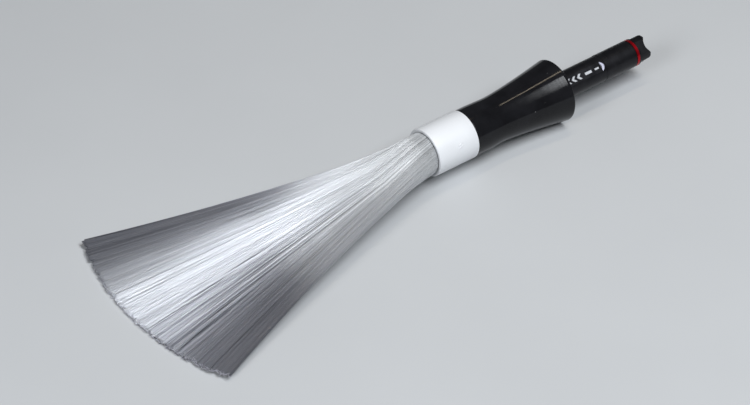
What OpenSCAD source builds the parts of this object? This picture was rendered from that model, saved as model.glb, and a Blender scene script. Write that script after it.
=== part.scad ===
// Light-painting fibre brush on a slim torch.
//
// A fan of clear plastic fibres is potted in a white pipe collar. A short pipe nipple behind the
// collar holds the head of a slim two-cell torch, and a flared rubber sleeve joins the two.
// The tool lies along X, its fibres towards -X, on the plane z = 0: the sleeve's rim and the
// fibres' tips touch it. Stations along the tool run from the collar's mouth, positive towards
// the torch's tail.

/* [Fibre fan] */
// Length of the fibres past the collar's mouth
fan_reach = 230; // [180:5:260]
// Half the width of the fan across its tips
fan_tip_half_width = 80; // [65:1:95]
// Angle at which the edge of the fan leaves the collar
fan_edge_angle = 11.5; // [8:0.5:14]
// Half the thickness of the fan at its tips
fan_tip_half_thickness = 2.2; // [1.5:0.1:4]
// Half the width of the split between two tufts, as a share of the half-fan
tuft_split = 0.008; // [0.004:0.001:0.02]

/* [Collar and nipple] */
// Outer radius of the collar
collar_r = 16.7; // [16.3:0.1:17.5]
// Length of the collar
collar_length = 32.2; // [31:0.1:38]
// Radius of the collar's two sockets
socket_r = 13.6; // [13.5:0.05:13.8]
// Bevel round the collar's outer front edge
collar_bevel = 1.4; // [0.5:0.1:2]
// Outer radius of the pipe nipple
nipple_r = 13.35; // [13.3:0.05:13.4]
// Length of the pipe nipple
nipple_length = 38; // [32:1:42]

/* [Sleeve] */
// Length of the sleeve
sleeve_length = 77.3; // [72:0.1:90]
// Outer radius of the sleeve's flared rim
rim_r = 21.95; // [20:0.05:24]
// Outer radius of the sleeve over the nipple
sleeve_neck_r = 16.4; // [16:0.1:17]
// Outer radius of the sleeve's waist
waist_r = 15.9; // [15.8:0.1:16.4]
// Wall of the sleeve
sleeve_wall = 2.5; // [2:0.1:2.5]

/* [Torch] */
// Length of the torch
torch_length = 162; // [162:1:170]
// Radius of the torch's barrel
barrel_r = 9.6; // [9.5:0.05:9.7]
// Radius of the torch's head
head_r = 10.4; // [10.2:0.05:10.4]
// Depth of the milled label flat
label_depth = 0.85; // [0.5:0.05:0.9]
// Length of the sloped run-out at the tail end of the label flat
label_runout = 3; // [1:0.1:4]
// Direction of the label flat round the barrel, from -Y up towards +Z
label_angle = 50; // [30:5:70]
// Travel of the tail button
button_travel = 1.2; // [0.8:0.1:1.4]

/* [Hidden] */
$fn = 96;
tuft_count = 7;

// Places along the tool, from the collar's mouth
sleeve_front = collar_length + 0.1;
rim_end = sleeve_front + sleeve_length;
nipple_front = 17.1;
nipple_rear = nipple_front + nipple_length;
stop_front = 15.1;
head_front = 24.7;
tail_end = head_front + torch_length;
ring_length = 2.1;
cap_shoulder = tail_end - 9.6;
barrel_end = cap_shoulder - ring_length;
label_end = barrel_end - 27;
axis_z = rim_r;
mouth_x = (fan_reach - tail_end) / 2;

// Fan: fibres leave the throat, spread, and droop to the plane that the tool lies on
root_r = 13.4;
throat_ball_r = 12;
throat_pivot = -6;
nose_r = 8;
bend_distance = throat_ball_r - throat_pivot + nose_r + 0.4;
bend_share = bend_distance / fan_reach;
droop_power = 1.5;
taper_power = 2.2;
edge_length = sqrt(fan_reach * fan_reach - fan_tip_half_width * fan_tip_half_width);
fan_curve = (fan_tip_half_width - root_r - tan(fan_edge_angle) * edge_length) / pow(edge_length, 2);
nose_steps = 4;
fan_steps = 9;

// Half the fan's width at a distance ahead of the mouth
function fan_half_width(ahead) = root_r + tan(fan_edge_angle) * ahead + fan_curve * ahead * ahead;

// Length along the tool of the fibre at a share of the half-fan, from -1 to 1
function fibre_length(share) = sqrt(pow(fan_reach, 2) - pow(share * fan_tip_half_width, 2));

// Share of its free length, from the bend's axis to the tip, that a fibre has run
function progress(share, ahead) =
    max(0, (ahead - bend_distance) / (fibre_length(share) - bend_distance));

// Height of the fan's middle surface
function fan_height(run) =
    axis_z - (axis_z - fan_tip_half_thickness) * pow(bend_share + (1 - bend_share) * run, droop_power);

// Half the fan's thickness: a round nose about the bend's axis, then a taper to the tips
function fan_half_thickness(ahead, run) =
    ahead < bend_distance
        ? sqrt(nose_r * nose_r - pow(bend_distance - ahead, 2))
        : fan_tip_half_thickness + (nose_r - fan_tip_half_thickness) * pow(1 - run, taper_power);

// Distances ahead of the mouth of the sections of the fibre at a share of the half-fan
function fibre_sections(share) = [
    for (i = [0:nose_steps - 1]) bend_distance - nose_r * cos(15 + i * 75 / nose_steps),
    for (i = [0:fan_steps]) bend_distance + (fibre_length(share) - bend_distance) * i / fan_steps
];

// Point of the fan's skin: side is 1 on the upper face and -1 on the lower one
function fibre_point(share, section, side) =
    let(ahead = fibre_sections(share)[section], run = progress(share, ahead))
    [mouth_x - ahead, share * fan_half_width(ahead),
     fan_height(run) + side * fan_half_thickness(ahead, run)];

// Closed skin over a row of rings with equal, even numbers of points
module loft(rings) {
    sides = len(rings[0]);
    last = len(rings) - 1;
    points = [for (ring = rings) each ring];
    walls = [
        for (i = [0:last - 1], j = [0:sides - 1])
            let(a = i * sides + j, b = i * sides + (j + 1) % sides)
            each [[a, a + sides, b + sides], [a, b + sides, b]]
    ];
    ends = [
        for (i = [0:sides / 2 - 2])
            let(j = sides - 1 - i, a = last * sides)
            each [[i, i + 1, j - 1], [i, j - 1, j],
                  [a + j, a + j - 1, a + i + 1], [a + j, a + i + 1, a + i]]
    ];
    polyhedron(points, concat(walls, ends));
}

// Moves and turns what is drawn along +Z to lie along the tool from a station
module along(station) {
    translate([mouth_x + station, 0, axis_z]) rotate([0, 90, 0]) children();
}

// Body turned about the tool's axis from [radius, station] points
module turned(outline) {
    along(0) rotate_extrude() polygon(outline);
}

// Plain tube between two stations
module tube(outer_r, inner_r, start, end) {
    turned([[inner_r, start], [outer_r, start], [outer_r, end], [inner_r, end]]);
}

// Plain rod between two stations
module rod(radius, start, end) {
    along(start) cylinder(r = radius, h = end - start);
}

// Round seal about the tool's axis
module seal(middle_r, thickness, station) {
    along(station) rotate_extrude() translate([middle_r, 0]) circle(d = thickness, $fn = 32);
}

// Places what is drawn on +Z on the side of the torch that faces the label's direction
module facing_label(station, turn = 0) {
    translate([mouth_x + station, 0, axis_z]) rotate([90 - label_angle + turn, 0, 0]) children();
}

// ---- Fibres ----

module fibre_tuft(number) {
    low_share = -1 + 2 * (number - 1) / tuft_count + (number == 1 ? 0 : tuft_split);
    high_share = -1 + 2 * number / tuft_count - (number == tuft_count ? 0 : tuft_split);
    shares = [low_share, (low_share + high_share) / 2, high_share];
    color([0.9, 0.92, 0.95]) loft([
        for (section = [0:nose_steps + fan_steps]) [
            for (share = shares) fibre_point(share, section, -1),
            for (i = [2:-1:0]) fibre_point(shares[i], section, 1)
        ]
    ]);
}

// Round bundle in the mouth, free to swing in the bundle's potted root
module fibre_throat() {
    color([0.85, 0.88, 0.9]) along(throat_pivot) sphere(r = throat_ball_r);
}

band_front = 8.2;
band_rear = 11.8;
plug_front = 12.6;
module fibre_root() {
    bundle_r = root_r - 0.4;
    bound_r = root_r - 0.9;
    color([0.82, 0.84, 0.86]) difference() {
        turned([
            [0, 0.6], [bundle_r, 0.6], [bundle_r, band_front], [bound_r, band_front],
            [bound_r, band_rear], [bundle_r, band_rear], [bundle_r, plug_front], [0, plug_front]
        ]);
        along(throat_pivot) sphere(r = throat_ball_r + 0.4);
    }
}

module root_band() {
    color([0.1, 0.1, 0.1]) tube(root_r, root_r - 0.9, band_front, band_rear);
}

module potting_plug() {
    color([0.75, 0.8, 0.8]) rod(socket_r - 0.02, plug_front, stop_front);
}

// ---- Collar and nipple ----

module collar() {
    stop_r = 12;
    entry = 1;
    rear_bevel = 0.4;
    color([0.95, 0.95, 0.96]) turned([
        [socket_r + entry, 0], [collar_r - collar_bevel, 0],
        [collar_r - collar_bevel / 3, collar_bevel / 3],
        [collar_r, collar_bevel], [collar_r, collar_length - rear_bevel],
        [collar_r - rear_bevel, collar_length], [socket_r, collar_length],
        [socket_r, nipple_front], [stop_r, nipple_front], [stop_r, stop_front],
        [socket_r, stop_front], [socket_r, entry]
    ]);
}

nipple_bore_r = 10.45;
module pipe_nipple() {
    color([0.93, 0.93, 0.92]) difference() {
        rod(nipple_r, nipple_front, nipple_rear);
        rod(nipple_bore_r, nipple_front - 1, nipple_rear + 1);
    }
}

// ---- Sleeve ----

waist = 57;
neck_end = 40;
flare_power = 1.35;
flare_steps = 10;
lip_r = 1.2;

// Outer radius of the sleeve at a station
function sleeve_r(station) =
    station < neck_end ? sleeve_neck_r
    : station < waist
        ? waist_r + (sleeve_neck_r - waist_r)
            * (1 + cos(180 * (station - neck_end) / (waist - neck_end))) / 2
    : waist_r + (rim_r - waist_r) * pow((station - waist) / (rim_end - lip_r - waist), flare_power);

module connector_sleeve() {
    flare_end = rim_end - lip_r;
    bore_r = nipple_r + 0.05;
    stations = concat(
        [for (i = [0:4]) neck_end + (waist - neck_end) * i / 4],
        [for (i = [1:flare_steps]) waist + (flare_end - waist) * i / flare_steps]
    );
    inner = [for (i = [flare_steps:-1:1])
        let(station = waist + (flare_end - waist) * i / flare_steps)
        [max(bore_r, sleeve_r(station) - sleeve_wall), station]];
    color([0.06, 0.06, 0.07]) turned(concat(
        [[bore_r, sleeve_front], [sleeve_neck_r, sleeve_front]],
        [for (station = stations) [sleeve_r(station), station]],
        [for (a = [30:30:60]) [rim_r - lip_r * (1 - cos(a)), flare_end + lip_r * sin(a)]],
        [[rim_r - lip_r, rim_end], [rim_r - sleeve_wall, rim_end]],
        inner, [[bore_r, nipple_rear + 1]]
    ));
}

// ---- Torch head ----

lip_end = head_front + 1.5;
lens_front = lip_end + 1;
lens_rear = lens_front + 1.8;
optic_rear = lens_rear + 10.2;
board_rear = optic_rear + 1.6;
driver_rear = board_rear + 9;
neck_front = driver_rear + 1;
head_rear = head_front + 33;
lens_r = 8.8;
seat_r = lens_r + 0.05;
neck_r = 9;
module head_bezel() {
    bevel = 0.5;
    color([0.07, 0.07, 0.08]) turned([
        [7.6, head_front], [head_r - bevel, head_front], [head_r, head_front + bevel],
        [head_r, head_rear - bevel], [head_r - bevel, head_rear], [neck_r, head_rear],
        [neck_r, neck_front], [seat_r, neck_front], [seat_r, lip_end], [7.6, lip_end]
    ]);
}

module lens_oring() {
    color([0.05, 0.05, 0.05]) seal(8.3, 0.96, lip_end + 0.5);
}

module front_lens() {
    color([0.8, 0.9, 0.95, 0.4]) rod(lens_r, lens_front, lens_rear);
}

led_front = optic_rear - 2.2;
module beam_optic() {
    recess_r = 2.6;
    color([0.85, 0.9, 0.95, 0.5]) turned([
        [0, lens_rear], [8.4, lens_rear], [8.4, lens_rear + 1.4], [3.6, optic_rear],
        [recess_r, optic_rear], [recess_r, led_front - 0.4], [0, led_front - 0.4]
    ]);
}

module led_board() {
    color([0.9, 0.9, 0.88]) rod(8.2, optic_rear, board_rear);
}

module led_emitter() {
    base = 3.4;
    dome_r = 1.3;
    color([0.95, 0.85, 0.3]) {
        translate([mouth_x + optic_rear - 0.9, -base / 2, axis_z - base / 2]) cube([0.9, base, base]);
        rod(dome_r, led_front, optic_rear - 0.9);
    }
}

contact_r = 2;
module driver_module() {
    color([0.75, 0.6, 0.25]) difference() {
        rod(lens_r, board_rear, driver_rear);
        rod(contact_r, driver_rear - 3, driver_rear + 1);
    }
}

cell_front = driver_rear + 2.4;
module driver_contact() {
    color([0.8, 0.65, 0.3]) rod(contact_r, driver_rear - 3, cell_front);
}

// ---- Barrel ----

thread_r = 8.3;
cap_neck_front = cap_shoulder - 14.6;
module barrel() {
    bore_r = 7.5;
    thread_front = cap_neck_front - 1;
    bevel = 0.5;
    label_half_width = sqrt(pow(barrel_r, 2) - pow(barrel_r - label_depth, 2)) + 1;
    label_front = rim_end - 40;
    grip_front = label_end + 0.4;
    front_r = barrel_r - 0.2;
    flat_length = label_end - label_front;
    cutter_top = 2;
    color([0.06, 0.06, 0.07]) difference() {
        turned([
            [bore_r, neck_front], [neck_r, neck_front], [neck_r, head_rear],
            [front_r, head_rear], [front_r, grip_front], [barrel_r, grip_front],
            [barrel_r, barrel_end - bevel], [barrel_r - bevel, barrel_end],
            [thread_r, barrel_end], [thread_r, thread_front], [bore_r, thread_front]
        ]);
        facing_label(label_front) translate([0, 0, barrel_r - label_depth]) rotate([90, 0, 0])
            linear_extrude(2 * label_half_width, center = true)
                polygon([[0, 0], [flat_length - label_runout, 0], [flat_length, label_depth],
                         [flat_length, cutter_top], [-1, cutter_top], [-1, 1]]);
    }
}

// Plain printed pattern on the label flat: chevrons, a bar and a dot
module label_mark() {
    ink = 0.08;
    chevron_half_height = 1.9;
    pitch = 4.6;
    color([0.85, 0.86, 0.88]) facing_label(label_end - 33)
        translate([0, 0, barrel_r - label_depth]) linear_extrude(ink) {
            for (i = [0:2]) translate([i * pitch, 0])
                polygon([[0, 0], [1.9, chevron_half_height], [3.9, chevron_half_height], [2, 0],
                         [3.9, -chevron_half_height], [1.9, -chevron_half_height]]);
            translate([16.2, -0.9]) square([5.6, 1.8]);
            translate([24.6, -0.6]) square([3.4, 1.2]);
        }
}

// Round cell with its positive nub towards the torch's head
cell_length = 50.4;
module cell(start) {
    nub = 1.4;
    turned([
        [0, start], [2.7, start], [2.7, start + nub], [6.9, start + nub], [7.2, start + nub + 0.3],
        [7.2, start + cell_length], [0, start + cell_length]
    ]);
}

module front_cell() {
    color([0.75, 0.6, 0.2]) cell(cell_front);
}

module rear_cell() {
    color([0.75, 0.6, 0.2]) cell(cell_front + cell_length);
}

// ---- Tail ----

tail_r = barrel_r - 0.05;
cap_neck_r = thread_r - 0.05;
groove_front = cap_shoulder - 5.6;
groove_rear = groove_front + 1.6;
groove_r = cap_neck_r - 0.9;
cavity_r = 6.6;
seat_front = cap_neck_front + 1.6;
can_front = seat_front + 1.6;
wall_front = cap_shoulder + 1.6;
wall_rear = wall_front + 2;
flange_rear = wall_front - 0.1;
flange_front = flange_rear - 1;
can_rear = flange_front - button_travel - 0.7;
plunger_length = 1;
button_r = 5.4;

module accent_ring() {
    color([0.75, 0.04, 0.05]) tube(tail_r, cap_neck_r + 0.05, barrel_end + 0.05, cap_shoulder - 0.02);
}

module tail_cap() {
    crown_r = 7.6;
    bevel = 0.4;
    facet_depth = 1.1;
    scallop_r = 8;
    scallop_depth = 2.6;
    color([0.06, 0.06, 0.07]) difference() {
        turned([
            [cavity_r, cap_neck_front], [cap_neck_r - bevel, cap_neck_front],
            [cap_neck_r, cap_neck_front + bevel], [cap_neck_r, groove_front], [groove_r, groove_front],
            [groove_r, groove_rear], [cap_neck_r, groove_rear], [cap_neck_r, cap_shoulder],
            [tail_r, cap_shoulder], [tail_r, tail_end - bevel], [tail_r - bevel, tail_end],
            [crown_r, tail_end], [crown_r, wall_rear], [button_r + 0.35, wall_rear],
            [button_r + 0.35, wall_front], [cavity_r, wall_front]
        ]);
        for (turn = [0:90:270]) {
            facing_label(tail_end - scallop_depth + scallop_r, turn) cylinder(r = scallop_r, h = 12);
            facing_label(cap_shoulder + 1.2, turn)
                translate([0, -10, tail_r - facet_depth]) cube([12, 20, 4]);
        }
    }
}

module tail_oring() {
    color([0.05, 0.05, 0.05]) tube(thread_r - 0.02, groove_r, groove_front + 0.1, groove_rear - 0.1);
}

// Wire spring, narrow where it meets the cell
module tail_spring() {
    turns = 5;
    steps = 12;
    wire_r = 0.45;
    start = cell_front + 2 * cell_length + 0.5 + wire_r;
    end = seat_front - wire_r;
    color([0.75, 0.75, 0.78]) loft([
        for (i = [0:turns * steps])
            let(share = i / (turns * steps), around = 360 * turns * share, coil_r = 3.6 + 2 * share)
            [for (j = [0:7]) let(r = coil_r + wire_r * cos(45 * j))
                [mouth_x + start + (end - start) * share + wire_r * sin(45 * j),
                 r * cos(around), axis_z + r * sin(around)]]
    ]);
}

module spring_seat() {
    color([0.8, 0.65, 0.3]) tube(cavity_r, 1.2, seat_front, can_front);
}

module switch_can() {
    plunger_hole_r = 2.4;
    hole_depth = plunger_length + button_travel + 0.8;
    color([0.15, 0.15, 0.16]) difference() {
        rod(cavity_r, can_front, can_rear);
        rod(plunger_hole_r, can_rear - hole_depth, can_rear + 1);
    }
}

module switch_button() {
    plunger_r = 2;
    plunger_end = can_rear - plunger_length;
    flange_r = cavity_r - 0.35;
    dome_end = tail_end - 3.2;
    dome_edge = 1.2;
    color([0.04, 0.04, 0.04]) turned([
        [0, plunger_end], [plunger_r, plunger_end], [plunger_r, flange_front], [flange_r, flange_front],
        [flange_r, flange_rear], [button_r, flange_rear], [button_r, dome_end - dome_edge],
        for (a = [30:30:90]) [button_r - dome_edge * (1 - cos(a)), dome_end - dome_edge * (1 - sin(a))],
        [0, dome_end]
    ]);
}

fibre_tuft(1);  // fibre_tuft_1
fibre_tuft(2);  // fibre_tuft_2
fibre_tuft(3);  // fibre_tuft_3
fibre_tuft(4);  // fibre_tuft_4
fibre_tuft(5);  // fibre_tuft_5
fibre_tuft(6);  // fibre_tuft_6
fibre_tuft(7);  // fibre_tuft_7
fibre_throat();
fibre_root();
root_band();
potting_plug();
collar();
pipe_nipple();
connector_sleeve();
head_bezel();
lens_oring();
front_lens();
beam_optic();
led_board();
led_emitter();
driver_module();
driver_contact();
barrel();
label_mark();
front_cell();
rear_cell();
accent_ring();
tail_cap();
tail_oring();
tail_spring();
spring_seat();
switch_can();
switch_button();
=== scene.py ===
import math

import bmesh
import bpy
import numpy as np
from mathutils import Matrix, Vector


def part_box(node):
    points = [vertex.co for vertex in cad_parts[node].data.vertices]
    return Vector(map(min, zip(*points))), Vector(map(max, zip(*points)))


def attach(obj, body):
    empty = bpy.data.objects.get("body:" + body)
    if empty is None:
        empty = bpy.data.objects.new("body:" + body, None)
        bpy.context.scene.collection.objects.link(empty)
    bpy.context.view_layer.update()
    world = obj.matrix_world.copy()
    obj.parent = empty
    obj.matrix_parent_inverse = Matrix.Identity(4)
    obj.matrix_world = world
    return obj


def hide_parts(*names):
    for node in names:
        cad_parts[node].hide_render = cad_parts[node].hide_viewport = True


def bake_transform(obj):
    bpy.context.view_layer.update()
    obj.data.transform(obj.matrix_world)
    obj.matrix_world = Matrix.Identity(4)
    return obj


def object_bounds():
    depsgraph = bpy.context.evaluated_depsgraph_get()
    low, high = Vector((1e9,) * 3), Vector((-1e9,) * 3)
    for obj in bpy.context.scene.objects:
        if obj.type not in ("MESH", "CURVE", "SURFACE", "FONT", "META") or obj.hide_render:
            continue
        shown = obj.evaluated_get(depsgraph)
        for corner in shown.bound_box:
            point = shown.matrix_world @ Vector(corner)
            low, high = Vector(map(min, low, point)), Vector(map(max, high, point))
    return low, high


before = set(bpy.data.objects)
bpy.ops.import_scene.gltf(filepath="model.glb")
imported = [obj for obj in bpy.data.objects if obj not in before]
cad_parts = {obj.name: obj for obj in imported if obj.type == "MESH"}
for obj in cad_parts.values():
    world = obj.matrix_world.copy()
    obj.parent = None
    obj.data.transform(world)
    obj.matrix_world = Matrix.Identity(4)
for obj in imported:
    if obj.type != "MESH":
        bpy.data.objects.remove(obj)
cad_low, cad_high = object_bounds()
MM = 0.001

# ---- Places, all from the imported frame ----

collar_low, collar_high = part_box("collar")
sleeve_low, sleeve_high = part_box("connector_sleeve")
nipple_low, nipple_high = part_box("pipe_nipple")
plug_low, plug_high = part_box("potting_plug")
barrel_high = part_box("barrel")[1]
MOUTH_X = collar_low.x
AXIS_Z = (collar_low.z + collar_high.z) / 2
COLLAR_R = collar_high.y
COLLAR_LENGTH = collar_high.x - MOUTH_X
SOCKET_R = plug_high.y
SLEEVE_START = sleeve_low.x - MOUTH_X
SLEEVE_END = sleeve_high.x - MOUTH_X
RIM_R = sleeve_high.y
PLUG_FRONT = plug_low.x - MOUTH_X
BARREL_R = barrel_high.y
FAN_REACH = MOUTH_X - cad_low.x
TIP_HALF_WIDTH = cad_high.y
TUFTS = [f"fibre_tuft_{i}" for i in range(1, 8)]
random = np.random.default_rng(7)


def tool_point(station, across=0.0, up=0.0):
    """Point at a distance behind the collar's mouth, off the tool's axis by across and up."""
    return Vector((MOUTH_X + station, across, AXIS_Z + up))


def linked(name, data):
    """New object for that data, linked to the scene."""
    made = bpy.data.objects.new(name, data)
    bpy.context.scene.collection.objects.link(made)
    return made


# ---- Camera, at the photograph's viewing angle ----

CAMERA_AZIMUTH = math.radians(-37.35)
CAMERA_ELEVATION = math.radians(39.99)
CAMERA_DISTANCE = 1.9457
CAMERA_LENS = 144
CAMERA_SENSOR = 36
AIM_RIGHT, AIM_UP = -0.0323, -0.0321


def direction(azimuth, elevation):
    """Unit vector from the object towards that azimuth (0 is -Y, turning to +X) and elevation."""
    flat = math.cos(elevation)
    return Vector((math.sin(azimuth) * flat, -math.cos(azimuth) * flat, math.sin(elevation)))


def add_camera():
    back = direction(CAMERA_AZIMUTH, CAMERA_ELEVATION)
    right = Vector((math.cos(CAMERA_AZIMUTH), math.sin(CAMERA_AZIMUTH), 0))
    up = back.cross(right)
    data = bpy.data.cameras.new("camera")
    data.lens, data.sensor_width = CAMERA_LENS, CAMERA_SENSOR
    camera = linked("camera", data)
    aim = tool_point(0) + right * AIM_RIGHT + up * AIM_UP
    turn = Matrix((right, up, back)).transposed().to_4x4()
    camera.matrix_world = Matrix.Translation(aim + back * CAMERA_DISTANCE) @ turn
    bpy.context.scene.camera = camera


# ---- Light and floor ----

def add_area_light(name, place, target, size, power, colour):
    """Rectangular softbox at a place, turned to a target; its width stays square to Y."""
    data = bpy.data.lights.new(name, "AREA")
    data.shape = "RECTANGLE"
    data.size, data.size_y = size
    data.energy = power
    data.color = colour
    back = (place - target).normalized()
    right = Vector((0, 1, 0)).cross(back).normalized()
    up = back.cross(right)
    turn = Matrix((right, up, back)).transposed().to_4x4()
    linked(name, data).matrix_world = Matrix.Translation(place) @ turn


def add_studio():
    scene = bpy.context.scene
    scene.view_settings.view_transform = "Standard"
    world = bpy.data.worlds.new("studio")
    world.use_nodes = True
    background = world.node_tree.nodes["Background"]
    background.inputs["Color"].default_value = (0.84, 0.90, 1.0, 1)
    background.inputs["Strength"].default_value = 0.07
    scene.world = world
    add_area_light("key", place=Vector((0.30, -1.22, 2.12)), target=tool_point(0.03),
                   size=(0.93, 1.45), power=60, colour=(0.93, 0.965, 1.0))
    add_area_light("strip", place=Vector((0.30, 0.10, 1.45)), target=tool_point(0.05),
                   size=(0.9, 0.05), power=2.2, colour=(1.0, 0.86, 0.66))
    add_area_light("front", place=Vector((-1.5, -0.45, 1.1)), target=tool_point(-0.1),
                   size=(0.7, 0.7), power=14, colour=(0.93, 0.96, 1.0))


def add_floor(material):
    bpy.ops.mesh.primitive_plane_add(size=12)
    floor = bpy.context.object
    floor.name = "floor"
    floor.data.materials.append(material)


# ---- Materials ----

class Shader:
    """A material built from a Principled shader and procedural nodes."""

    def __init__(self, name, **uniform):
        self.material = bpy.data.materials.new(name)
        self.material.use_nodes = True
        self.tree = self.material.node_tree
        self.surface = self.tree.nodes["Principled BSDF"]
        for socket, value in uniform.items():
            self.surface.inputs[socket.replace("_", " ")].default_value = value

    def node(self, kind, settings=None, **inputs):
        """New node; each input is a socket's name, or i0, i1 and so on for its number."""
        made = self.tree.nodes.new(kind)
        for key, value in (settings or {}).items():
            setattr(made, key, value)
        for key, value in inputs.items():
            socket = made.inputs[int(key[1:]) if key[0] == "i" and key[1:].isdigit() else key]
            if isinstance(value, bpy.types.NodeSocket):
                self.tree.links.new(value, socket)
            else:
                socket.default_value = value
        return made

    def to(self, socket, output):
        self.tree.links.new(output, self.surface.inputs[socket])

    def place(self, scale=(1, 1, 1)):
        """Object coordinates, stretched."""
        coordinates = self.node("ShaderNodeTexCoord")
        mapping = self.node("ShaderNodeMapping", Vector=coordinates.outputs["Object"], Scale=scale)
        return mapping.outputs["Vector"]

    def noise(self, scale, detail=3, stretch=(1, 1, 1), roughness=0.5):
        made = self.node("ShaderNodeTexNoise", Vector=self.place(stretch), Scale=scale, Detail=detail,
                         Roughness=roughness)
        return made.outputs["Fac"]

    def ramp(self, factor, stops):
        made = self.node("ShaderNodeValToRGB", Fac=factor)
        elements = made.color_ramp.elements
        while len(elements) < len(stops):
            elements.new(0.5)
        for element, (at, colour) in zip(elements, stops):
            element.position = at
            element.color = (*colour, 1)
        return made.outputs["Color"]

    def grey_ramp(self, factor, low, high, start=0.3, end=0.7):
        return self.ramp(factor, [(start, (low,) * 3), (end, (high,) * 3)])

    def bump(self, height, strength, distance):
        made = self.node("ShaderNodeBump", Height=height, Strength=strength, Distance=distance)
        self.to("Normal", made.outputs["Normal"])

    def math(self, operation, first, second=0.0):
        return self.node("ShaderNodeMath", {"operation": operation}, i0=first, i1=second).outputs["Value"]

    def attribute(self, name):
        return self.node("ShaderNodeAttribute", {"attribute_name": name}).outputs["Fac"]

    def mix(self, factor, first, second):
        """Mix of two colours; each is a colour output or three numbers."""
        made = self.node("ShaderNodeMix", {"data_type": "RGBA"})
        self.feed(made.inputs[0], factor)
        self.feed(made.inputs[6], first)
        self.feed(made.inputs[7], second)
        return made.outputs[2]

    def feed(self, socket, value):
        if isinstance(value, bpy.types.NodeSocket):
            self.tree.links.new(value, socket)
        else:
            socket.default_value = (*value, 1) if isinstance(value, tuple) else value


def floor_material():
    shader = Shader("floor", Roughness=0.6)
    shader.to("Base Color", shader.ramp(shader.noise(6, 4), [
        (0.3, (0.50, 0.51, 0.52)), (0.7, (0.52, 0.53, 0.54))]))
    return shader.material


def fibre_material():
    """Clear filament: glints where loose, milky where packed, with a faint painted glow on the cut ends."""
    shader = Shader("fibre", Roughness=0.3, Emission_Color=(0.88, 0.88, 1.0, 1))
    bulk = shader.attribute("bulk")
    # The shade attribute is each fibre's random tone times its painted shade from fibre_shades
    shade = shader.attribute("shade")
    loose = shader.ramp(shade, [
        (0.0, (0.01, 0.01, 0.03)), (0.5, (0.50, 0.51, 0.54)), (1.0, (0.93, 0.95, 0.98))])
    packed = shader.ramp(shade, [
        (0.0, (0.22, 0.23, 0.24)), (0.5, (0.47, 0.48, 0.49)), (1.0, (0.72, 0.73, 0.74))])
    body = shader.mix(bulk, loose, packed)
    shader.to("Base Color", shader.mix(shader.attribute("cut"), body, (0.86, 0.84, 0.94)))
    glint = shader.grey_ramp(bulk, 0.66, 0.15, 0.0, 1.0)
    # Painted glow: the cut ends emit a faint light of their own
    shader.to("Emission Strength", shader.math("MULTIPLY", shader.attribute("cut"), 0.35))
    wall = shader.math("SUBTRACT", 1.0, shader.attribute("cut"))
    shader.to("Metallic", shader.math("MULTIPLY", glint, wall))
    return shader.material


def white_pvc_material():
    """Satin white pipe fitting with faint flow marks and handling scuffs."""
    shader = Shader("white_pvc", Specular_IOR_Level=0.42)
    shader.to("Base Color", shader.ramp(shader.noise(45, 4, (0.5, 1, 1)), [
        (0.3, (0.71, 0.72, 0.74)), (0.7, (0.77, 0.78, 0.80))]))
    shader.to("Roughness", shader.grey_ramp(shader.noise(160, 5, (0.3, 1, 1)), 0.34, 0.46))
    shader.bump(shader.noise(900, 3), 0.10, 0.0002)
    return shader.material


def sleeve_material():
    """Glossy black vinyl: faint rings from dipping, a soft haze and a few specks of dust."""
    shader = Shader("sleeve_vinyl", Specular_IOR_Level=0.21)
    haze = shader.ramp(shader.noise(70, 5), [(0.35, (0.006, 0.006, 0.007)), (0.75, (0.012, 0.012, 0.014))])
    speck = shader.ramp(shader.noise(520, 1), [(0.80, (0, 0, 0)), (0.82, (1, 1, 1))])
    shader.to("Base Color", shader.mix(speck, haze, (0.22, 0.22, 0.22)))
    shader.to("Roughness", shader.grey_ramp(shader.noise(110, 4), 0.08, 0.14))
    rings = shader.noise(1, 3, (900, 40, 40), 0.6)
    shader.bump(rings, 0.05, 0.0002)
    return shader.material


def anodised_shader(name, low, high, metallic=0.55, roughness=(0.27, 0.40)):
    """Fine-turned anodised aluminium: turning marks round the tool's axis and soft wear."""
    shader = Shader(name, Metallic=metallic, Specular_IOR_Level=0.3)
    shader.to("Roughness", shader.grey_ramp(shader.noise(220, 4, (1, 0.4, 0.4)), *roughness))
    shader.bump(shader.noise(1, 2, (2600, 30, 30)), 0.10, 0.0001)
    return shader, shader.ramp(shader.noise(90, 5), [(0.3, low), (0.7, high)])


def anodised_material(name, low, high, metallic=0.55, roughness=(0.27, 0.40)):
    shader, colour = anodised_shader(name, low, high, metallic, roughness)
    shader.to("Base Color", colour)
    return shader.material


BLACK_LOW, BLACK_HIGH = (0.010, 0.010, 0.012), (0.020, 0.020, 0.023)
LABEL_TURN = math.radians(50)
LABEL_SETBACK = 27 * MM
LABEL_END = barrel_high.x - LABEL_SETBACK
LABEL_DEPTH = 0.85 * MM
RUNOUT = 3 * MM


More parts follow.
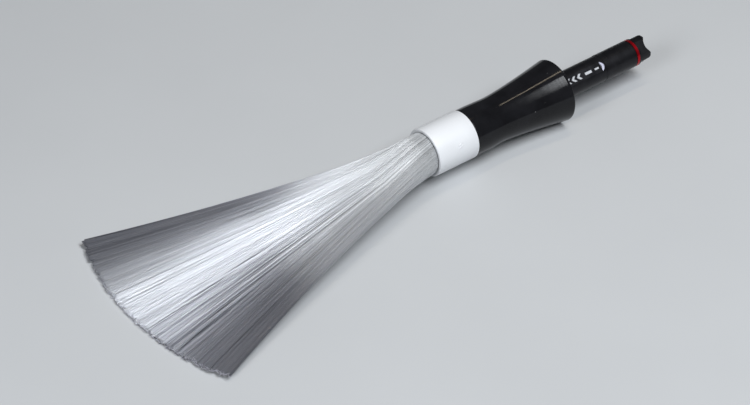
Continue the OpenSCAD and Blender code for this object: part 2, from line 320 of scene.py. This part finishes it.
def barrel_material():
    """Black anodised, with a painted highlight: a lighter band along the edge where the label flat's cutter
    ran out of the barrel.
    """
    shader, colour = anodised_shader("barrel_anodised", BLACK_LOW, BLACK_HIGH)
    point = shader.node("ShaderNodeSeparateXYZ", Vector=shader.place()).outputs
    across = shader.math("MULTIPLY", point["Y"], -math.cos(LABEL_TURN))
    up = shader.math("MULTIPLY", shader.math("SUBTRACT", point["Z"], AXIS_Z), math.sin(LABEL_TURN))
    run = shader.math("DIVIDE", shader.math("SUBTRACT", point["X"], LABEL_END - RUNOUT), RUNOUT)
    slope = shader.math("ADD", shader.math("MULTIPLY", run, LABEL_DEPTH), BARREL_R - LABEL_DEPTH)
    off = shader.math("ABSOLUTE", shader.math("SUBTRACT", shader.math("ADD", across, up), slope))
    side = shader.math("SUBTRACT", point["Z"], AXIS_Z)
    radius = shader.math("SQRT", shader.math(
        "ADD", shader.math("POWER", point["Y"], 2), shader.math("POWER", side, 2)))
    tolerance, ring, run_start = 0.04 * MM, 0.62 * MM, 0.05
    on_slope = shader.math("LESS_THAN", off, tolerance)
    near_wall = shader.math("GREATER_THAN", radius, BARREL_R - ring)
    on_runout = shader.math("MULTIPLY", on_slope, shader.math("GREATER_THAN", run, run_start))
    # Painted highlight: the run-out edge of the label flat is coloured lighter, as if catching the light
    painted_highlight = shader.math("MULTIPLY", on_runout, near_wall)
    shader.to("Base Color", shader.mix(painted_highlight, colour, (0.10, 0.10, 0.125)))
    return shader.material


def grained_material(name, low, high, scale, roughness=(0.4, 0.6), bump=0.15, **uniform):
    """Mottled colour between low and high, with finer grain in gloss and height."""
    shader = Shader(name, **uniform)
    shader.to("Base Color", shader.ramp(shader.noise(scale, 4), [(0.3, low), (0.7, high)]))
    shader.to("Roughness", shader.grey_ramp(shader.noise(scale * 1.7, 4), *roughness))
    shader.bump(shader.noise(scale * 5, 3), bump, 0.0001)
    return shader.material


def cell_material():
    """Wrapped cell: an uncoated metal nub, a copper band, a dark wrap and an uncoated end."""
    shader = Shader("cell_wrap", Specular_IOR_Level=0.5)
    front_low, front_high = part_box("front_cell")
    length = front_high.x - front_low.x
    along = shader.node("ShaderNodeSeparateXYZ", Vector=shader.place()).outputs["X"]
    cells = shader.math("DIVIDE", shader.math("SUBTRACT", along, front_low.x), length)
    # Stops are shares of one cell's length
    wrap = shader.ramp(shader.math("FRACT", cells), [
        (0.0, (0.62, 0.60, 0.56)), (0.032, (0.62, 0.60, 0.56)), (0.034, (0.50, 0.24, 0.08)),
        (0.30, (0.55, 0.27, 0.10)), (0.305, (0.018, 0.018, 0.020)), (0.98, (0.024, 0.024, 0.026)),
        (0.985, (0.60, 0.60, 0.58))])
    shader.to("Base Color", shader.mix(shader.noise(130, 4), wrap, (0.10, 0.09, 0.08)))
    shader.to("Roughness", shader.grey_ramp(shader.noise(300, 4), 0.25, 0.42))
    shader.bump(shader.noise(700, 3), 0.1, 0.0001)
    return shader.material


def clear_material(name, low, high, scale, roughness, ior):
    """Clear piece with faint flow marks."""
    shader = Shader(name, Transmission_Weight=0.92, IOR=ior)
    shader.to("Base Color", shader.ramp(shader.noise(scale, 4), [(0.3, low), (0.7, high)]))
    shader.to("Roughness", shader.grey_ramp(shader.noise(scale * 3, 3), *roughness))
    shader.bump(shader.noise(scale * 2, 2), 0.05, 0.0001)
    return shader.material


def paint_nodes():
    """A material for every CAD node that no piece of this script replaces."""
    black = anodised_material("black_anodised", BLACK_LOW, BLACK_HIGH)
    rubber = grained_material("black_rubber", (0.012, 0.012, 0.013), (0.024, 0.024, 0.025), 260, (0.5, 0.7))
    brass = grained_material(
        "brass", (0.62, 0.43, 0.17), (0.74, 0.55, 0.25), 240, (0.22, 0.38), 0.1, Metallic=1)
    resin = clear_material("clear_resin", (0.86, 0.89, 0.90), (0.94, 0.95, 0.95), 120, (0.06, 0.16), 1.5)
    finishes = {
        "barrel": barrel_material(),
        ("head_bezel", "tail_cap"): black,
        ("root_band", "lens_oring", "tail_oring", "switch_button"): rubber,
        ("driver_module", "driver_contact", "spring_seat"): brass,
        ("potting_plug", "beam_optic"): resin,
        ("front_cell", "rear_cell"): cell_material(),
        "accent_ring": anodised_material(
            "red_anodised", (0.36, 0.004, 0.010), (0.50, 0.008, 0.016), 0.75, (0.24, 0.36)),
        "label_mark": grained_material("white_ink", (0.42, 0.43, 0.45), (0.56, 0.57, 0.60), 900, (0.5, 0.7)),
        "pipe_nipple": grained_material(
            "nipple_pvc", (0.74, 0.74, 0.73), (0.82, 0.82, 0.81), 120, (0.36, 0.5), 0.1),
        "front_lens": clear_material(
            "lens_glass", (0.90, 0.95, 0.96), (0.96, 0.98, 0.98), 60, (0.01, 0.05), 1.52),
        "led_board": grained_material("board_white", (0.66, 0.66, 0.63), (0.78, 0.78, 0.76), 400, (0.3, 0.5)),
        "led_emitter": grained_material(
            "led_phosphor", (0.74, 0.58, 0.08), (0.86, 0.72, 0.16), 1400, (0.12, 0.3), 0.05),
        "tail_spring": grained_material(
            "spring_steel", (0.44, 0.44, 0.46), (0.62, 0.62, 0.65), 500, (0.22, 0.36), 0.1, Metallic=1),
        "switch_can": grained_material("switch_plastic", (0.030, 0.030, 0.034), (0.055, 0.055, 0.060), 300),
    }
    for names, material in finishes.items():
        for name in (names,) if isinstance(names, str) else names:
            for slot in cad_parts[name].material_slots:
                slot.material = material


# ---- Collar and sleeve ----

LATHE_SIDES = 160
LATHE_SHARP = math.radians(35)


def turned(name, outline, swell=None):
    """Closed body turned about the tool's axis from (station, radius) points in metres."""
    station, radius = np.array(outline).T
    angle = np.arange(LATHE_SIDES) * 2 * math.pi / LATHE_SIDES
    radii = radius[:, None] + (swell(station[:, None], radius[:, None], angle[None]) if swell else 0 * angle)
    vertices = np.stack([
        np.repeat(MOUTH_X + station[:, None], LATHE_SIDES, 1),
        radii * np.cos(angle), AXIS_Z + radii * np.sin(angle)], -1).reshape(-1, 3)
    i = np.arange(len(station))[:, None] * LATHE_SIDES
    following = (np.arange(len(station))[:, None] + 1) % len(station) * LATHE_SIDES
    j = np.arange(LATHE_SIDES)[None]
    k = (j + 1) % LATHE_SIDES
    faces = np.stack([i + j, following + j, following + k, i + k], -1).reshape(-1, 4)
    mesh = bpy.data.meshes.new(name)
    mesh.from_pydata(vertices.tolist(), [], faces.tolist())
    mesh.polygons.foreach_set("use_smooth", np.ones(len(faces), bool))
    mesh.set_sharp_from_angle(angle=LATHE_SHARP)
    mesh.update()
    return linked(name, mesh)


def arc(station, radius, size, start, end, steps=6):
    """Points of a rounded corner about a centre; angles in degrees from +X towards the outside."""
    turn = np.radians(np.linspace(start, end, steps + 1))
    return [(station + size * math.cos(t), radius + size * math.sin(t)) for t in turn]


def add_collar(material):
    """The slip coupling: two sockets with a stop ridge between, a rounded lip and a flared entry."""
    lip, rear_round, entry_round = 0.75 * MM, 0.35 * MM, 0.4 * MM
    entry, entry_depth = 1.1 * MM, 1.2 * MM
    stop_front, stop_rear = plug_high.x - MOUTH_X, nipple_low.x - MOUTH_X
    stop_r = 12 * MM
    outline = [
        (COLLAR_LENGTH, SOCKET_R),
        *arc(COLLAR_LENGTH - rear_round, COLLAR_R - rear_round, rear_round, 0, 90, 3),
        *[(COLLAR_LENGTH * share, COLLAR_R) for share in (0.75, 0.5, 0.25)],
        *arc(lip, COLLAR_R - lip, lip, 90, 180),
        *arc(entry_round, SOCKET_R + entry + entry_round, entry_round, 180, 225, 3),
        (entry_depth, SOCKET_R), (stop_front, SOCKET_R), (stop_front, stop_r), (stop_rear, stop_r),
        (stop_rear, SOCKET_R)]
    collar = turned("collar_shell", outline)
    collar.data.materials.append(material)
    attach(collar, "brush")
    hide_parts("collar")


MARK_STATION = 17.8 * MM
MARK_ANGLE = math.radians(25.5)
MARK_HEIGHT = 0.5 * MM


def add_collar_mark(material):
    """Plain moulded mark on the collar's side: two short slanted bars."""
    length, width, gap, slant = 3.6 * MM, 0.8 * MM, 1.7 * MM, math.radians(22)
    foot = -0.1 * MM
    profile = [(-0.5, foot), (-0.34, MARK_HEIGHT), (0.34, MARK_HEIGHT), (0.5, foot)]
    mesh = bmesh.new()
    for side in (-0.5, 0.5):
        rows = []
        for step in np.linspace(-0.5, 0.5, 9):
            taper = math.sqrt(max(1 - (2 * abs(step)) ** 6, 0.15))
            row = []
            for share, lift in profile:
                down, over = step * length, share * width * taper
                along = down * math.cos(slant) - over * math.sin(slant)
                around = down * math.sin(slant) + over * math.cos(slant) + side * gap
                angle = MARK_ANGLE + around / COLLAR_R
                radius = COLLAR_R + lift
                row.append(mesh.verts.new(tool_point(
                    MARK_STATION + along, -radius * math.cos(angle), radius * math.sin(angle))))
            rows.append(row)
        for near, far in zip(rows, rows[1:]):
            for i in range(4):
                mesh.faces.new((near[i], near[(i + 1) % 4], far[(i + 1) % 4], far[i]))
        mesh.faces.new(rows[0][::-1])
        mesh.faces.new(rows[-1])
    bmesh.ops.recalc_face_normals(mesh, faces=mesh.faces)
    data = bpy.data.meshes.new("collar_mark")
    mesh.to_mesh(data)
    piece = linked("collar_mark", data)
    piece.data.materials.append(material)
    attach(piece, "brush")


SLEEVE_NECK_R = 16.4 * MM
NECK_END = 40 * MM
WAIST = 57 * MM
WAIST_R = 15.9 * MM
FLARE_POWER = 1.35
SLEEVE_WALL = 2.5 * MM
RIM_LIP = 0.8 * MM
SWELL_HEIGHT = 0.09 * MM
SWELL_STATION = 47 * MM
SWELL_LENGTH = 9 * MM
SKIN = 1.2 * MM


def sleeve_radius(station):
    """Outer radius of the sleeve: a straight neck, a waist and a flare to the rim."""
    if station < NECK_END:
        return SLEEVE_NECK_R
    if station < WAIST:
        fall = (1 + math.cos(math.pi * (station - NECK_END) / (WAIST - NECK_END))) / 2
        return WAIST_R + (SLEEVE_NECK_R - WAIST_R) * fall
    return WAIST_R + (RIM_R - WAIST_R) * ((station - WAIST) / (SLEEVE_END - RIM_LIP - WAIST)) ** FLARE_POWER


def sleeve_swell(station, radius, angle):
    """Slight lumps where the vinyl clings to the pipe's end and sinks behind it."""
    outside = radius > SLEEVE_NECK_R - SKIN
    near_pipe_end = np.exp(-((station - SWELL_STATION) / SWELL_LENGTH) ** 2)
    lumps = np.sin(2 * angle + 1.1) + 0.6 * np.sin(3 * angle + station / (5 * MM))
    return SWELL_HEIGHT * lumps * near_pipe_end * outside


def add_sleeve(material):
    """The vinyl sleeve: tight on the pipe nipple, then an even wall that flares to a rounded rim."""
    clearance, front_round, neck_start, overrun = 0.05 * MM, 0.4 * MM, 0.8 * MM, 1 * MM
    bore_r = nipple_high.y + clearance
    bore_end = nipple_high.x - MOUTH_X + overrun
    flare_end = SLEEVE_END - RIM_LIP
    outer = [(s, sleeve_radius(s)) for s in np.linspace(SLEEVE_START + neck_start, flare_end, 60)]
    inner = [(s, max(bore_r, sleeve_radius(s) - SLEEVE_WALL)) for s in np.linspace(flare_end, bore_end, 36)]
    outline = [
        (SLEEVE_START, bore_r),
        *arc(SLEEVE_START + front_round, SLEEVE_NECK_R - front_round, front_round, 180, 90, 3),
        *outer, *arc(flare_end, RIM_R - RIM_LIP, RIM_LIP, 80, 0, 6),
        *arc(flare_end, RIM_R - SLEEVE_WALL + RIM_LIP, RIM_LIP, 0, -80, 6), *inner]
    sleeve = turned("sleeve_shell", outline, sleeve_swell)
    sleeve.data.materials.append(material)
    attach(sleeve, "sleeve")
    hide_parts("connector_sleeve")


# ---- Fibres ----

FIBRE_COUNT = 4500
GOLDEN_SHARE = (math.sqrt(5) - 1) / 2
FIBRE_RADIUS = 0.2 * MM
FIBRE_SIDES = 5
FIBRE_SHARP = math.radians(80)
LOWEST_CENTRE = 1.3 * FIBRE_RADIUS
ROOT_GAP = 0.02 * MM
FREE_STEPS = 12
THROAT_STEPS = 3
ROOT_RADIUS = 12.2 * MM
ROOT_SWELL = 0.6 * MM
MOUTH_RADIUS = 13.35 * MM
MOUTH_SPILL = 1.05 * MM
SPILL_LENGTH = 1.2 * MM
SWING_START = -0.8 * MM
# Where the round bundle starts to flatten into the fan, measured ahead of the mouth, and over what length
FLAT_START = -4 * MM
FLAT_LENGTH = 50 * MM
TIP_HALF_THICKNESS = 1.2 * MM
MOUTH_EXTRA_THICKNESS = 6.5 * MM
EDGE_THICKNESS, MIDDLE_THICKNESS = 0.35, 0.65
TIP_HEIGHT = 1.6 * MM
DROP_POWER = 1.5
EDGE_LIFT = 2.4 * MM
FAR_SLOPE, FAR_POWER = 19 * MM, 1.6
NEAR_SLOPE, NEAR_POWER = 56 * MM, 2
NEAR_SHORTFALL = 0.007
# Places in the bundle and at the tips, in half widths or half heights, and how far chance moves them
LAST_PLACE = 0.9999
PLACE_SPREAD, LEVEL_SPREAD = 0.004, 0.05
BUNDLE_WEIGHT, EVEN_WEIGHT = 0.35, 0.65
LOCK_COUNT = 400
LOCK_PULL, TIP_SPREAD = 0.06, 0.0012
STRAY_CHANCE, STRAY_SPREAD = 0.015, 0.02
TIP_EDGE = 0.995
SETTLE_RATE = 1.5
# Shares of the fan's length by which a fibre or a whole lock may fall short, and how unevenly
FIBRE_SHORT, LOCK_SHORT, SHORT_POWER = 0.012, 0.010, 0.4
BOW = 0.06 * MM
LIFT = 0.04 * MM
# Partings that show the darker depth of the fan: share across, share of the length, half length, half gap
PARTINGS = [
    (-0.11, 0.65, 0.12, 0.020), (-0.11, 0.53, 0.08, 0.010), (-0.14, 0.79, 0.12, 0.016),
    (0.00, 0.91, 0.12, 0.008), (-0.21, 0.72, 0.20, 0.008), (-0.27, 0.84, 0.16, 0.010),
    (-0.36, 0.78, 0.20, 0.010), (-0.45, 0.80, 0.18, 0.014), (-0.51, 0.84, 0.20, 0.018),
    (-0.62, 0.80, 0.20, 0.006)]
PARTING_REACH = 0.04
PARTED_LEVEL, PARTED_OVER = -0.9, 0.4


def smooth(t):
    """Smooth step from 0 to 1 as t goes from 0 to 1."""
    t = np.clip(t, 0, 1)
    return t * t * (3 - 2 * t)


def edge(run, slope, power):
    """Distance of one edge of the fan from the tool's axis, at a share of the fan's reach."""
    return MOUTH_RADIUS + slope * run + (TIP_HALF_WIDTH - MOUTH_RADIUS - slope) * run ** power


def fan_y(share, run):
    """The far edge curves outwards late, the near edge early."""
    far, near = edge(run, FAR_SLOPE, FAR_POWER), edge(run, NEAR_SLOPE, NEAR_POWER)
    return (far - near) / 2 + share * (far + near) / 2


def parted(share, run, level):
    """Share across the fan, with all but the lowest fibres pushed apart at each parting."""
    upper = smooth((level - PARTED_LEVEL) / PARTED_OVER)
    push = np.zeros_like(share)
    for middle, centre, half_length, half_gap in PARTINGS:
        off = share - middle
        along = smooth(1 - np.abs(run - centre) / half_length)
        push += np.sign(off) * half_gap * np.exp(-np.abs(off) / PARTING_REACH) * along
    return share + push * upper


def bundle_places():
    """Each fibre's place from side to side, counted evenly and in the round bundle, and its level."""
    order = np.arange(FIBRE_COUNT)
    jitter = random.normal(0, PLACE_SPREAD, FIBRE_COUNT)
    even = np.clip(2 * (order + 0.5) / FIBRE_COUNT - 1 + jitter, -LAST_PLACE, LAST_PLACE)
    # A disc's area on one side of a place, scaled to run from -1 to 1, turned into that place
    place = np.linspace(-1, 1, 2001)
    area = (np.arcsin(place) + place * np.sqrt(1 - place ** 2)) * 2 / math.pi
    across = np.interp(even, area, place)
    level = 2 * (order * GOLDEN_SHARE % 1) - 1 + random.normal(0, LEVEL_SPREAD, FIBRE_COUNT)
    return even, across, np.clip(level, -1, 1)


def tip_places(even, across):
    """Each fibre's share across the fan at its tip, and how far ahead of the mouth the tip is."""
    share = BUNDLE_WEIGHT * across + EVEN_WEIGHT * even
    # Locks of fibres lean together as they near the tips
    lock_share = np.sort(random.uniform(-1, 1, LOCK_COUNT))
    lock = np.clip(np.searchsorted(lock_share, share), 0, LOCK_COUNT - 1)
    lean = (lock_share[lock] - share) * LOCK_PULL
    share_end = share + lean + random.normal(0, TIP_SPREAD, FIBRE_COUNT)
    stray = random.random(FIBRE_COUNT) < STRAY_CHANCE
    share_end += np.where(stray, random.normal(0, STRAY_SPREAD, FIBRE_COUNT), 0)
    share_end = np.clip(share_end, -1, 1) * TIP_EDGE
    short = FIBRE_SHORT * random.random(FIBRE_COUNT) ** SHORT_POWER
    short = short + LOCK_SHORT * random.random(LOCK_COUNT)[lock]
    length = FAN_REACH * (1 - short - NEAR_SHORTFALL * np.maximum(-share_end, 0) ** 4)
    return share_end, np.sqrt(length ** 2 - (share_end * TIP_HALF_WIDTH) ** 2)


def fibre_paths():
    """Centreline points of every fibre, root first; its share across the fan; its level; the swing point."""
    even, across, level = bundle_places()
    chord = np.sqrt(np.maximum(1 - across ** 2, 1e-4))
    share_end, tip_x = tip_places(even, across)
    bow = random.normal(0, BOW, FIBRE_COUNT)
    lift = random.normal(0, LIFT, FIBRE_COUNT)
    # The potted root up to just inside the mouth, then the free length from the mouth to the tip
    inside = [-PLUG_FRONT + ROOT_GAP, -PLUG_FRONT / 2, SWING_START]
    parts = np.linspace(0, 1, FREE_STEPS)
    parts = np.insert(parts, 1, parts[1] / 2)
    points = np.zeros((FIBRE_COUNT, len(inside) + len(parts), 3))
    for k in range(points.shape[1]):
        part = np.full(FIBRE_COUNT, parts[max(k - len(inside), 0)])
        ahead = np.full(FIBRE_COUNT, inside[k]) if k < len(inside) else tip_x * part
        run = np.maximum(ahead, 0) / tip_x
        here = parted(across + (share_end - across) * smooth(part * SETTLE_RATE), run, level)
        leaving = smooth((ahead + PLUG_FRONT) / PLUG_FRONT)
        flat = smooth((ahead - FLAT_START) / FLAT_LENGTH)
        root_half = (ROOT_RADIUS + (MOUTH_RADIUS - ROOT_RADIUS) * leaving
                     + ROOT_SWELL * np.sin(math.pi * leaving))
        spill = MOUTH_SPILL * smooth((ahead + SPILL_LENGTH) / SPILL_LENGTH) * (1 - flat)
        tip_half = TIP_HALF_THICKNESS + MOUTH_EXTRA_THICKNESS * (1 - run) ** 2
        round_half = chord * (root_half + spill) * (1 - flat)
        half = round_half + tip_half * (EDGE_THICKNESS + MIDDLE_THICKNESS * chord) * flat
        wide = 1 + (ROOT_RADIUS / MOUTH_RADIUS - 1) * (1 - leaving)
        drop = (AXIS_Z - TIP_HEIGHT) * run ** DROP_POWER
        wave = np.sin(math.pi * part)
        curl = EDGE_LIFT * run ** 2 * here ** 4
        points[:, k, 0] = MOUTH_X - ahead
        points[:, k, 1] = fan_y(here, run) * wide + spill * here + bow * wave
        height = AXIS_Z - drop + level * half + lift * wave + curl
        points[:, k, 2] = np.maximum(height, LOWEST_CENTRE)
    return points, share_end, level, len(inside) - 1


def tube_mesh(name, paths, kept, shades, bulk):
    """One mesh of closed tubes along the kept points of paths, an array of fibres by points by xyz."""
    tangent = np.gradient(paths, axis=1)[:, kept]
    tangent /= np.linalg.norm(tangent, axis=2, keepdims=True)
    paths, shades, bulk = paths[:, kept], shades[:, kept], bulk[:, kept]
    fibres, count, _ = paths.shape
    sides = FIBRE_SIDES
    side = np.cross(tangent, (0, 0, 1))
    side /= np.linalg.norm(side, axis=2, keepdims=True)
    over = np.cross(side, tangent)
    angle = np.arange(sides) * 2 * math.pi / sides
    ring = (side[:, :, None, :] * np.cos(angle)[None, None, :, None]
            + over[:, :, None, :] * np.sin(angle)[None, None, :, None])
    vertices = (paths[:, :, None, :] + ring * FIBRE_RADIUS).reshape(-1, 3)
    base = (np.arange(fibres) * count * sides)[:, None, None]
    row = (np.arange(count - 1) * sides)[None, :, None]
    a = base + row + np.arange(sides)[None, None, :]
    b = base + row + (np.arange(sides)[None, None, :] + 1) % sides
    walls = np.stack([a, b, b + sides, a + sides], -1).reshape(-1, 4)
    first = base[:, 0, 0][:, None] + np.arange(sides)[None, ::-1]
    last = base[:, 0, 0][:, None] + (count - 1) * sides + np.arange(sides)[None, :]
    ends = np.concatenate([first, last])
    mesh = bpy.data.meshes.new(name)
    mesh.vertices.add(len(vertices))
    mesh.vertices.foreach_set("co", vertices.astype(np.float32).ravel())
    mesh.loops.add(walls.size + ends.size)
    corners = np.concatenate([walls.ravel(), ends.ravel()])
    mesh.loops.foreach_set("vertex_index", corners.astype(np.int32))
    mesh.polygons.add(len(walls) + len(ends))
    starts = np.concatenate([np.arange(len(walls)) * 4, walls.size + np.arange(len(ends)) * sides])
    mesh.polygons.foreach_set("loop_start", starts.astype(np.int32))
    is_wall = np.concatenate([np.ones(len(walls), bool), np.zeros(len(ends), bool)])
    mesh.polygons.foreach_set("use_smooth", is_wall)
    mesh.update(calc_edges=True)
    mesh.set_sharp_from_angle(angle=FIBRE_SHARP)
    for attribute, values in (("shade", shades), ("bulk", bulk)):
        numbers = np.repeat(values, sides, axis=1).ravel().astype(np.float32)
        mesh.attributes.new(attribute, "FLOAT", "POINT").data.foreach_set("value", numbers)
    mesh.attributes.new("cut", "FLOAT", "FACE").data.foreach_set("value", (~is_wall).astype(np.float32))
    return linked(name, mesh)


# Looks of the fibres, their random tone and painted shade, in half widths and half heights of the fan and
# shares of its length
BRIGHTEST = 0.25
NEAR_FALL, FAR_FALL = 0.50, 0.42
# Painted shade that darkens the fibres toward both sides of the fan, away from BRIGHTEST
PAINTED_SIDE_SHADE, PAINTED_SIDE_SHADE_START, PAINTED_SIDE_SHADE_LENGTH = 0.68, 0.42, 0.24
FAR_SIDE_SHADE_LEAD = 0.2
SHADE_BETA = 5, 4.5
UNEVEN_MIDDLE, UNEVEN_WIDTH, UNEVEN_ELSEWHERE = -0.35, 0.30, 0.2
# Painted shade on the lowest fibres in the partings
PAINTED_DEPTH_SHADE = 0.88
DEEP_LEVEL, DEEP_OVER = 0.4, 0.2
DEEP_START, DEEP_LENGTH = 0.35, 0.2
PACKED_LENGTH = 0.48


def fibre_shades(share, level, along):
    """Brightness of each fibre at each point: uneven in the partings, with painted shade on the lowest fibres
    there and painted shade toward the sides.
    """
    parting = np.exp(-((share - UNEVEN_MIDDLE) / UNEVEN_WIDTH) ** 2)
    own = 0.5 + (random.beta(*SHADE_BETA, share.shape) - 0.5) * (UNEVEN_ELSEWHERE + parting)
    # Painted shade: the lowest fibres in the partings are darkened past the first part of the fan, so the
    # gaps look deep
    painted_depth_shade = PAINTED_DEPTH_SHADE * smooth((-level - DEEP_LEVEL) / DEEP_OVER) * parting
    painted_depth_shade = painted_depth_shade * smooth((along - DEEP_START) / DEEP_LENGTH)
    # Painted shade: darker to either side of BRIGHTEST, starting earlier along the fan on the far side
    side = (share - BRIGHTEST) / np.where(share < BRIGHTEST, NEAR_FALL, FAR_FALL)
    lead = FAR_SIDE_SHADE_LEAD * np.maximum(share, 0)
    reached = smooth((along - PAINTED_SIDE_SHADE_START + lead) / PAINTED_SIDE_SHADE_LENGTH)
    painted_side_shade = PAINTED_SIDE_SHADE * (1 - np.exp(-side ** 2)) * reached
    return own * (1 - painted_side_shade) * (1 - painted_depth_shade)


def add_fibres(material):
    """The potted root, the throat, and the rest of the fibres in one piece for each tuft of the CAD fan."""
    paths, share, level, swing = fibre_paths()
    along = (MOUTH_X - paths[:, :, 0]) / FAN_REACH
    bulk = 1 - smooth(along / PACKED_LENGTH)
    shades = fibre_shades(share[:, None], level[:, None], along)
    seam = swing + THROAT_STEPS
    root = tube_mesh("fibres_root", paths, slice(0, swing + 1), shades, bulk)
    throat = tube_mesh("fibres_throat", paths, slice(swing, seam + 1), shades, bulk)
    for piece, node in ((root, "fibre_root"), (throat, "fibre_throat")):
        piece.data.materials.append(material)
        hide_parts(node)
    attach(root, "brush")
    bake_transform(throat)
    tuft = np.clip(((share + 1) / 2 * len(TUFTS)).astype(int), 0, len(TUFTS) - 1)
    for number, node in enumerate(TUFTS):
        mine = tuft == number
        piece = tube_mesh(f"fibres_{number + 1}", paths[mine], slice(seam, None), shades[mine], bulk[mine])
        piece.data.materials.append(material)
        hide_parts(node)
        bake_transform(piece)


add_camera()
add_studio()
add_floor(floor_material())
paint_nodes()
white_pvc = white_pvc_material()
add_collar(white_pvc)
add_collar_mark(white_pvc)
add_sleeve(sleeve_material())
add_fibres(fibre_material())
